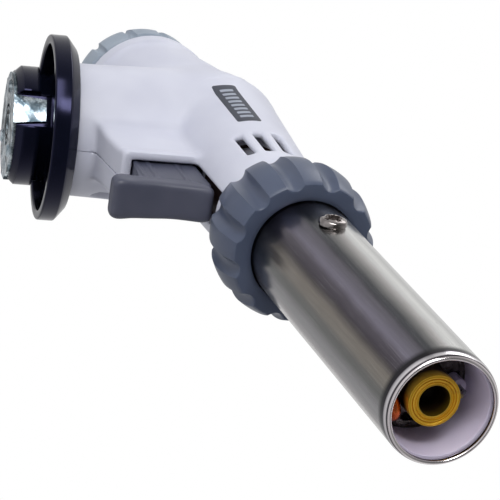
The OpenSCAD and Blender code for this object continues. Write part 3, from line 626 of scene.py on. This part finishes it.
def housing_field(side_sign):
    """Distance to one half: 1 for the left half, with the screws' wells, and -1 for the right."""
    def field(p):
        x, y, z = p[..., 0], p[..., 1], p[..., 2]
        up, side, back = barrel_coordinates(p)
        v_up, v_side, v_back = valve_coordinates(p)
        outside = housing_outside(p)
        shell = round_max(outside, -(outside + WALL), 0.4)
        partition = np.maximum(outside, np.abs(back - PARTITION_K) - PARTITION_HALF)
        shell = np.minimum(shell, partition)
        for sx, sz in SCREWS:
            across = np.hypot(x - sx, z - sz)
            shell = np.minimum(shell, np.maximum(across - PILLAR_R, outside))
            if side_sign > 0:
                shell = carve(shell, np.maximum(across - WELL_R, WELL_FLOOR - y), 0.7)
        radius = np.hypot(up, side)
        bore = np.where(back < BORE_END_K, radius - BORE_R, radius - TUBE_HOLE_R)
        leads = rounded_box(np.stack([up, side, back], -1), (-6.2, 0, 134), (3.4, 4.4, 7), 0.5)
        wire = np.maximum(np.hypot(up - WIRE_UP, side) - WIRE_HOLE_R, 126 - back)
        inner = np.minimum(np.minimum(np.maximum(bore, back - 140), leads), wire)
        shell = carve(shell, inner, 0.5)
        shell = carve(shell, np.maximum(np.hypot(v_up, v_side) - VALVE_HOLE_R, -v_back), 0.5)
        shell = carve(shell, np.maximum(np.hypot(x, y) - INLET_HOLE_R, z - INLET_HOLE_TOP), 0.5)
        slot = np.maximum(np.abs(y) - SLOT_HW, SLOT_BOTTOM - z)
        slot = np.maximum(slot, up - SLOT_TOP)
        slot = np.maximum(slot, np.maximum(SLOT_X[0] - x, x - SLOT_X[1]))
        shell = carve(shell, slot, 0.8)
        shell = carve(shell, vent_cut(p), 1.1)
        return round_max(shell, GAP - side_sign * y, 0.2)
    return field


for sign, node in ((1, "housing_left"), (-1, "housing_right")):
    lo = (SAMPLED_X[0], min(0, sign * REACH_Y), SAMPLED_Z[0])
    hi = (SAMPLED_X[1], max(0, sign * REACH_Y), SAMPLED_Z[1])
    verts, faces = surface_nets(housing_field(sign), lo, hi, 0.5)
    new_piece(node + "_look", verts, faces, M["housing"], "head", [node], 40)

# ------------------------------------------------------------------ label

LABEL_BACK, LABEL_UP = (133.5, 155.7), (-2.25, 3.85)
LABEL_STEP = 0.6                 # mm between points along the outline
LABEL_EASE, LABEL_ROOT = 0.06, 0.4   # mm of its eased edge, and of its depth in the housing
LABEL_START = 15.5               # mm to the side from which a point moves to the surface
BAR_COUNT, BAR_PITCH, BAR_WIDTH, BAR_MARGIN = 8, 2.35, 1.25, 1.35


def label_patch(name, back_span, up_span, height, material, corner):
    """A thin rounded plate bent over the housing's right side, height mm proud."""
    outline = fillet([(back_span[0], up_span[0]), (back_span[1], up_span[0]),
                      (back_span[1], up_span[1]), (back_span[0], up_span[1])], corner, 6)
    middle = (outline.min(0) + outline.max(0)) / 2
    following = np.roll(outline, -1, 0)
    lengths = np.linalg.norm(following - outline, axis=1)
    shares = [np.linspace(0, 1, int(d / LABEL_STEP) + 1, endpoint=False)[:, None] for d in lengths]
    outline = np.concatenate([a + (b - a) * t for a, b, t in zip(outline, following, shares)])
    ease_share = LABEL_EASE / (outline[:, 1].max() - middle[1])
    rings = [(1.0, -LABEL_ROOT), (1.0, height - LABEL_EASE), (1 - ease_share, height)]
    rings += [(f, height) for f in (0.8, 0.6, 0.4, 0.2)]
    verts, faces = [], []
    n = len(outline)
    for share, lift in rings:
        flat = middle + (outline - middle) * share
        point = np.stack([flat[:, 1], np.full(n, -LABEL_START), flat[:, 0]], -1) * MM
        point = moved(point, ON_BARREL) / MM
        for _ in range(8):
            point[:, 1] += housing_outside(point) - lift
        verts += list(point * MM)
    for i in range(len(rings) - 1):
        for j in range(n):
            m = (j + 1) % n
            faces.append((i * n + j, i * n + m, (i + 1) * n + m, (i + 1) * n + j))
    faces.append(tuple(range((len(rings) - 1) * n, len(rings) * n)))
    faces.append(tuple(range(n)))
    return new_piece(name, verts, faces, material, "head",
                     ["label_plate"] if name == "label_plate_look" else [], 30)


label_patch("label_plate_look", LABEL_BACK, LABEL_UP, 0.10, M["label"], 0.7)
for i in range(BAR_COUNT):
    start = LABEL_BACK[0] + 2.1 + i * BAR_PITCH
    label_patch("label_bar_%d" % i, (start, start + BAR_WIDTH),
                (LABEL_UP[0] + BAR_MARGIN, LABEL_UP[1] - BAR_MARGIN), 0.17, M["mark"], 0.25)

# ------------------------------------------------------------------ air ring and sleeve

RING_K, RING_LEN, RING_END_R, RING_MID_R = 85.3, 18.3, 16.8, 18.6


def ring_radius(r, z, angle):
    """Lands and shallow grooves, fifteen degrees each, on the ring's outside."""
    turn = np.degrees(angle) % 30
    turn = np.minimum(turn, 30 - turn)
    inside = np.clip((turn - 7.5) / 7.5, 0, 1)
    depth = (1.25 + 0.55 * np.sin(np.clip(z / RING_LEN, 0, 1) * math.pi)) * (1 - (1 - inside) ** 2)
    share = np.clip((r - 15.2) / 1.4, 0, 1)
    return r - depth * share * (r > 15)


t = np.linspace(-1, 1, 21)
outer = [(RING_END_R + (RING_MID_R - RING_END_R) * (1 - v * v), RING_LEN / 2 * (1 + v * 0.955))
         for v in t]
ring_profile = [(12.72, 14.2), (12.50, 13.9), (12.50, 0.7), (12.62, 0.3), (12.95, 0.1), (13.6, 0.0),
                (14.6, 0.0), (15.4, 0.02), (16.1, 0.04), (RING_END_R - 0.3, 0.12)] + outer
ring_profile += [(RING_END_R - 0.3, RING_LEN - 0.12), (15.6, RING_LEN), (14.2, RING_LEN),
                 (13.5, RING_LEN - 0.2), (13.35, RING_LEN - 0.6), (13.35, 14.35)]
verts, faces = lathe(ring_profile, 288, ring_radius)
ring_place = ON_BARREL @ Matrix.Translation((0, 0, RING_K * MM))
new_piece("air_ring_look", moved(verts, ring_place), faces, M["slate"], "air_ring",
          ["air_ring"], 32)

# ------------------------------------------------------------------ barrel

BARREL_LEN, LIP_R = 98.0, 11.0
BARREL_BORE_R, EDGE_R, BEAD_LEN = 11.57, 0.45, 2.6
SKIN_R = BARREL_R - 0.01
lip = [(LIP_R + EDGE_R + (BARREL_R - LIP_R - EDGE_R) * math.sin(a), BEAD_LEN - BEAD_LEN * math.cos(a))
       for a in np.linspace(math.pi / 2, 0.12, 14)]
lip += [(LIP_R + EDGE_R - EDGE_R * math.sin(a), EDGE_R - EDGE_R * math.cos(a))
        for a in np.linspace(0, math.pi / 2, 8)]
barrel_profile = lip + [
    (LIP_R + 0.03, 1.1), (LIP_R + 0.2, 1.6), (BARREL_BORE_R, 2.2), (BARREL_BORE_R, BARREL_LEN),
    (12.22, BARREL_LEN), (12.25, BARREL_LEN - 0.3), (12.25, 90), (SKIN_R, 89.5), (SKIN_R, 60),
    (SKIN_R, 30)]
verts, faces = lathe(barrel_profile, 240)
new_piece("barrel_look", moved(verts, ON_BARREL), faces, M["steel"], "head",
          ["barrel"], 30)

# ------------------------------------------------------------------ screws

def pan_head(r, height, cup, flat=1.35):
    """A domed screw head on z = 0 with a cross recess round a cup, in mm.

    cup is the cup's share of the radius, and a larger flat makes a flatter dome.
    """
    def field(p):
        x, y, z = p[..., 0], p[..., 1], p[..., 2]
        across = np.hypot(x, y)
        big = (r * r * flat + height * height) / (2 * height)
        dome = np.sqrt(across ** 2 + (z - height + big) ** 2) - big
        head = round_max(round_max(dome, across - r, 0.5), -z, 0.2)
        reach = r * 0.74 * (1 - 0.3 * (height - z) / height)
        arm_a = np.maximum(np.abs(x) - reach, np.abs(y) - 0.19 * r)
        arm_b = np.maximum(np.abs(y) - reach, np.abs(x) - 0.19 * r)
        recess = np.minimum(np.minimum(arm_a, arm_b), across - cup * r)
        return carve(head, np.maximum(recess, height * 0.2 - z), 0.16)
    return surface_nets(field, (-r, -r, 0), (r, r, height), r / 26)


BARREL_SCREW_K = 71.5            # mm from the mouth to the screw in the barrel's side
verts, faces = pan_head(3.2, 2.0, 0.56, 2.4)
side_out = Matrix(((1, 0, 0, 0), (0, 0, -1, (-BARREL_R + 0.1) * MM), (0, 1, 0, BARREL_SCREW_K * MM),
                   (0, 0, 0, 1)))
turn = Matrix.Rotation(math.radians(20), 4, "Z")
new_piece("barrel_screw_look", moved(verts, ON_BARREL @ side_out @ turn), faces, M["chrome"], "head",
          ["barrel_screw"], 30)

verts, faces = pan_head(2.3, 1.6, 0.4)
head_verts, head_faces = [], []
for sx, sz in SCREWS:
    place = Matrix(((1, 0, 0, sx * MM), (0, 0, 1, 9.05 * MM), (0, -1, 0, sz * MM), (0, 0, 0, 1)))
    head_faces += [tuple(v + len(head_verts) for v in f) for f in faces.tolist()]
    head_verts += list(moved(verts, place))
    ends = [(sx * MM, y * MM, sz * MM) for y in (9.3, -4.8)]
    shank, walls = sweep(ends, 1.2 * MM, 24)
    head_faces += [tuple(v + len(head_verts) for v in f) for f in walls]
    head_verts += [np.array(v) for v in shank]
new_piece("housing_screws_look", head_verts, head_faces, M["chrome"], "head",
          ["housing_screws"], 30)

# ------------------------------------------------------------------ knob

KNOB_R, KNOB_LEN, KNOB_LANDS = 17.3, 10.0, 12
KNOB_S = REAR_S + 0.6


def knob_radius(r, z, angle):
    """Broad lands parted by narrow notches."""
    turn = np.degrees(angle + math.pi / KNOB_LANDS) % (360 / KNOB_LANDS)
    turn = np.minimum(turn, 360 / KNOB_LANDS - turn)
    depth = 0.95 * np.clip(1 - (turn / 3.6) ** 2, 0, 1) ** 0.6
    return r - depth * (r > 13.6)


knob_profile = [
    (3.1, 3.1), (7.2, 3.1), (7.2, 0.2), (7.4, 0.0), (13.9, 0.0), (16.2, 0.05), (16.9, 0.35),
    (KNOB_R, 0.9), (KNOB_R, 2.6), (KNOB_R, 4.3), (17.0, 5.6), (16.55, 6.9), (16.1, 8.0),
    (15.7, 8.8), (15.0, 9.5), (14.0, KNOB_LEN - 0.1), (12.8, KNOB_LEN), (11.2, KNOB_LEN),
    (10.6, 9.7), (10.2, 9.0), (9.6, 8.8), (9.05, 8.75), (9.05, 8.05), (3.1, 8.05)]
verts, faces = lathe(knob_profile, 360, knob_radius)
knob_place = ON_VALVE @ Matrix.Translation((0, 0, KNOB_S * MM))
new_piece("knob_look", moved(verts, knob_place), faces, M["knob"], "knob",
          ["knob"], 32)

cap_profile = [
    (0.01, 8.1), (9.0, 8.1), (9.0, 9.3), (8.85, 9.6), (8.5, 9.75), (7.6, 9.8), (7.4, 9.6),
    (7.1, 9.35), (6.7, 9.3), (2.4, 9.3), (2.2, 9.4), (2.0, 9.65), (1.6, 9.8), (0.01, 9.85)]
verts, faces = lathe(cap_profile, 128)
new_piece("knob_cap_look", moved(verts, knob_place), faces, M["slate"], "knob",
          ["knob_cap"], 30)

# ------------------------------------------------------------------ collar

COLLAR_R, COLLAR_BORE_R, COLLAR_TOP = 23.0, 20.65, 6.5
collar_profile = fillet(
    [(7.03, 4.2), (COLLAR_BORE_R, 4.2), (COLLAR_BORE_R, 0.0), (COLLAR_R, 0.0), (COLLAR_R, 4.0),
     (22.4, 4.55), (20.0, COLLAR_TOP), (7.03, COLLAR_TOP)], [0, 0.5, 0.45, 0.45, 0.4, 0.3, 0.6, 0], 5)
verts, faces = lathe(collar_profile, 200)
new_piece("collar_look", verts, faces, M["black"], "head", ["collar_disc"], 30)

# ------------------------------------------------------------------ trigger

PAD_X, PAD_DEPTH, PAD_Z, PAD_HW = 50.6, 7.2, (11.6, 35.9), 4.45
FINGER_R, FINGER_DEPTH, FINGER_Z = 38, 2.2, 24.4
CHEEK_HW, CHEEK_BOTTOM, CHEEK_TOP, CHEEK_X = 4.2, 18.3, -12.7, (30, 46)
RIB_HW, RIB_X, RIB_LEAN = 4.38, (32, 45), 0.12
RIBS = ((19.4, 0.45), (22.2, 0.4), (29.2, 0.4))      # height and half thickness of each


def trigger_field(p):
    """Distance to the trigger: a hollowed pad, and ribbed cheeks that slide in the slot."""
    x, y, z = p[..., 0], p[..., 1], p[..., 2]
    up, side, back = barrel_coordinates(p)
    half = PAD_HW + 0.3 * step_up(28 - z, 0, 8) + 0.25 * step_up(17.5 - z, 0, 4)
    back_face = PAD_X - PAD_DEPTH + 0.012 * (z - 24) ** 2 * (z > 24) - 0.4 * step_up(17 - z, 0, 4)
    ends = np.maximum(PAD_Z[0] - z, z - PAD_Z[1])
    pad = round_max(np.maximum(x - PAD_X, back_face - x), ends, 3.4)
    pad = round_max(pad, np.abs(y) - half, 1.9)
    hollow = np.hypot(x - PAD_X - FINGER_R + FINGER_DEPTH, z - FINGER_Z) - FINGER_R
    pad = carve(pad, hollow, 1.6)
    cheek = np.maximum(np.maximum(np.abs(y) - CHEEK_HW, CHEEK_BOTTOM - z), up - CHEEK_TOP)
    cheek = round_max(cheek, np.maximum(CHEEK_X[0] - x, x - CHEEK_X[1]), 0.3)
    body = blend_min(pad, cheek, 0.5)
    for rib_z, width in RIBS:
        rib = np.maximum(np.abs(z - rib_z - RIB_LEAN * (x - 38)) - width, np.abs(y) - RIB_HW)
        rib = np.maximum(rib, np.maximum(RIB_X[0] - x, x - RIB_X[1]))
        body = blend_min(body, rib, 0.35)
    return body


verts, faces = surface_nets(trigger_field, (30, -5.2, 11.4), (51, 5.2, 36.2), 0.3)
new_piece("trigger_look", verts, faces, M["trigger"], "trigger", ["trigger"], 40)

# ------------------------------------------------------------------ inside the mouth

BEND_LEGS = [(-7.9, 0.4), (-6.5, 5.2)]    # up and side of the preheat tube's legs at the mouth
BAFFLE_R, BAFFLE_K, BAFFLE_HALF = 10.7, 15.9, 0.4
NOZZLE_HOLE_R, LEG_HOLE_R, ELECTRODE_HOLE_R = 5.7, 1.62, 1.65
AIR_SLOT_ANGLES, AIR_SLOT_OUT, AIR_SLOT_HALF, AIR_SLOT_R = (45, 90, 225, 270, 315), 8.3, 1.1, 0.8


def baffle_field(p):
    """Distance to the rimmed plate that holds the nozzle, tube and electrode."""
    up, side, back = p[..., 0], p[..., 1], p[..., 2]
    across = np.hypot(up, side)
    plate = round_max(across - BAFFLE_R, np.abs(back - BAFFLE_K) - BAFFLE_HALF, 0.3)
    rim = np.maximum(np.abs(across - 10.2) - 0.5, np.abs(back - 16.4) - 1.1)
    plate = blend_min(plate, rim, 0.4)
    cut = across - NOZZLE_HOLE_R
    for leg_up, leg_side in BEND_LEGS:
        cut = np.minimum(cut, np.hypot(up - leg_up, side - leg_side) - LEG_HOLE_R)
    cut = np.minimum(cut, np.hypot(up - WIRE_UP, side) - ELECTRODE_HOLE_R)
    for a in AIR_SLOT_ANGLES:
        c, k = math.cos(math.radians(a)), math.sin(math.radians(a))
        out, along = up * c + side * k, side * c - up * k
        beyond = np.maximum(np.abs(along) - AIR_SLOT_HALF, 0)
        cut = np.minimum(cut, np.hypot(out - AIR_SLOT_OUT, beyond) - AIR_SLOT_R)
    return carve(plate, cut, 0.25)


verts, faces = surface_nets(baffle_field, (-10.8, -10.8, 15.2), (10.8, 10.8, 17.6), 0.24)
new_piece("baffle_look", moved(verts, ON_BARREL), faces, M["heat_dark"], "head",
          ["baffle_plate"], 35)


TUBE_R, TUBE_UP, TUBE_SIDE = 1.35, -8, 2.3       # mm, and where its straight legs run
BEND_K, BEND_DEPTH = 10.6, 2.5


def tube_path():
    """The preheat tube's middle line: valve, first leg, bend at the flame, second leg, jet."""
    (u0, s0), (u1, s1) = BEND_LEGS
    points = [ON_VALVE @ Vector((0, 0, -v * MM)) for v in (1.2, 4, 7.5)]
    first = [(TUBE_UP, -TUBE_SIDE, back) for back in (141, 100, 64)]
    first += [(u0 - 0.1, s0 - 0.5, 44), (u0, s0, 26), (u0, s0, 16)]
    middle, half = ((u0 + u1) / 2, (s0 + s1) / 2), ((u1 - u0) / 2, (s1 - s0) / 2)
    bend = [(middle[0] - half[0] * math.cos(a), middle[1] - half[1] * math.cos(a),
             BEND_K - BEND_DEPTH * math.sin(a)) for a in np.linspace(0, math.pi, 17)]
    second = [(u1, s1, 16), (u1, s1, 26), (u1 - 0.2, s1 - 0.4, 44)]
    second += [(TUBE_UP, TUBE_SIDE, back) for back in (64, 100, 132.5)]
    on_barrel = [Vector((u * MM, s * MM, b * MM)) for u, s, b in first + bend + second]
    return points + [ON_BARREL @ p for p in on_barrel]


verts, faces = sweep(tube_path(), TUBE_R * MM, 20)
new_piece("preheat_tube_look", verts, faces, M["copper"], "head", ["preheat_tube"], 50)

# ------------------------------------------------------------------ piezo spring

SPRING_X, SPRING_LEN, SPRING_TURNS, SPRING_R, SPRING_WIRE = 9.1, 8.35, 4, 2.1, 0.22
STEPS = 28                               # points in a turn of the coil
PIEZO_Z = float(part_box("piezo_plunger")[0][2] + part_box("piezo_plunger")[1][2]) / 2   # in metres

points = []
for i in range(SPRING_TURNS * STEPS + 1):
    a = 2 * math.pi * i / STEPS
    along = SPRING_X + SPRING_WIRE + (SPRING_LEN - 2 * SPRING_WIRE) * i / (SPRING_TURNS * STEPS)
    points.append((along * MM, SPRING_R * math.cos(a) * MM, SPRING_R * math.sin(a) * MM + PIEZO_Z))
verts, faces = sweep(points, SPRING_WIRE * MM, 10)
spring = new_piece("piezo_spring_look", verts, faces, M["spring"], "head",
                   ["piezo_spring"], 60)
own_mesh(spring)

# ------------------------------------------------------------------ CAD pieces that stay in view

for node, look in (("nozzle", "nozzle"), ("inlet_body", "zinc"), ("flame_screen", "heat_dark"),
                   ("mixing_tube", "heat_dark"), ("air_sleeve", "dark")):
    frame["nodes"][node].data.materials.clear()
    frame["nodes"][node].data.materials.append(M[look])


def ease(node, width_mm):
    """Joins the CAD mesh's seams and rounds its edges a little, with modifiers only."""
    piece = frame["nodes"][node]
    weld = piece.modifiers.new("weld", "WELD")
    weld.merge_threshold = 0.004 * MM
    bevel = piece.modifiers.new("bevel", "BEVEL")
    bevel.width = width_mm * MM
    bevel.segments = 2
    bevel.limit_method = "ANGLE"
    bevel.angle_limit = math.radians(30)
    bevel.harden_normals = False


for node, width in (("bayonet_boss", 0.3), ("bayonet_clip", 0.16), ("clip_rivets", 0.2),
                    ("nozzle", 0.12), ("liner", 0.15), ("inlet_body", 0.1)):
    ease(node, width)

# ------------------------------------------------------------------ stage, light and camera

CAMERA_PLACE = Vector((0.6556, -0.2171, -0.0823))
CAMERA_RIGHT = Vector((0.156, -0.136, 0.978))
CAMERA_UP = Vector((-0.3632, -0.9291, -0.0719))
CAMERA_LENS = 201.7              # mm on a 36 mm sensor
FLOOR_Z = -0.19                  # the foot of the cartridge that the head screws onto


def make_camera():
    """A long lens in front of the mouth and to its side, with axes made square to each other."""
    data = bpy.data.cameras.new("camera")
    data.lens = CAMERA_LENS
    data.sensor_width = 36
    data.clip_start, data.clip_end = 0.01, 20
    camera = bpy.data.objects.new("camera", data)
    right = CAMERA_RIGHT.normalized()
    up = (CAMERA_UP - CAMERA_UP.dot(right) * right).normalized()
    back = right.cross(up)
    camera.matrix_world = Matrix((
        (right.x, up.x, back.x, CAMERA_PLACE.x), (right.y, up.y, back.y, CAMERA_PLACE.y),
        (right.z, up.z, back.z, CAMERA_PLACE.z), (0, 0, 0, 1)))
    bpy.context.scene.collection.objects.link(camera)
    bpy.context.scene.camera = camera


def area_light(name, place, target, size, power, colour=(1, 1, 1)):
    """A rectangular light aimed at a target, with its power in watts."""
    data = bpy.data.lights.new(name, "AREA")
    data.shape = "RECTANGLE"
    data.size, data.size_y = size
    data.energy = power
    data.color = colour
    light = bpy.data.objects.new(name, data)
    light.location = place
    light.rotation_euler = (Vector(target) - Vector(place)).to_track_quat("-Z", "Y").to_euler()
    light.visible_camera = False
    bpy.context.scene.collection.objects.link(light)


def make_stage():
    """A square of pale paper."""
    half = 3.0
    verts = [(x * half, y * half, FLOOR_Z) for x, y in ((-1, -1), (1, -1), (1, 1), (-1, 1))]
    mesh = bpy.data.meshes.new("floor")
    mesh.from_pydata(verts, [], [(0, 1, 2, 3)])
    floor = bpy.data.objects.new("floor", mesh)
    bpy.context.scene.collection.objects.link(floor)
    n = Nodes("floor_paper", Roughness=0.8)
    n.set("Base Color", n.mix(n.noise(120, 2), (0.80, 0.80, 0.81, 1), (0.84, 0.84, 0.85, 1)))
    mesh.materials.append(n.material)


def make_world():
    """White studio for the camera; dimmer towards the camera's side for reflections."""
    world = bpy.data.worlds.new("studio")
    world.use_nodes = True
    bpy.context.scene.world = world
    tree = world.node_tree
    tree.nodes.clear()
    out = tree.nodes.new("ShaderNodeOutputWorld")
    mix = tree.nodes.new("ShaderNodeMixShader")
    path = tree.nodes.new("ShaderNodeLightPath")
    seen = tree.nodes.new("ShaderNodeBackground")
    seen.inputs["Color"].default_value = (1, 1, 1, 1)
    lit = tree.nodes.new("ShaderNodeBackground")
    place = tree.nodes.new("ShaderNodeTexCoord")
    dot = tree.nodes.new("ShaderNodeVectorMath")
    dot.operation = "DOT_PRODUCT"
    dot.inputs[1].default_value = CAMERA_PLACE.normalized()
    ramp = tree.nodes.new("ShaderNodeMapRange")
    ramp.interpolation_type = "SMOOTHSTEP"
    for key, value in (("From Min", -0.5), ("From Max", 0.9), ("To Min", 0.88), ("To Max", 0.13)):
        ramp.inputs[key].default_value = value
    link = tree.links.new
    link(place.outputs["Generated"], dot.inputs[0])
    link(dot.outputs["Value"], ramp.inputs["Value"])
    link(ramp.outputs[0], lit.inputs["Strength"])
    link(path.outputs["Is Camera Ray"], mix.inputs[0])
    link(lit.outputs[0], mix.inputs[1])
    link(seen.outputs[0], mix.inputs[2])
    link(mix.outputs[0], out.inputs["Surface"])


make_camera()
make_stage()
make_world()
area_light("key", (0.40, -0.75, -0.10), (0.05, 0, 0.04), (0.55, 0.35), 3.4)
area_light("rim", (-0.35, -0.45, 0.45), (0.05, 0, 0.04), (0.3, 0.5), 1.2)
area_light("fill", (0.75, -0.08, -0.42), (0.08, 0, 0.04), (0.35, 0.35), 2.6, (0.95, 0.94, 1))
area_light("glint", (0.53, -0.58, 0.13), (0.02, 0, 0), (0.2, 0.2), 1.2)
bpy.context.scene.view_settings.view_transform = "Standard"
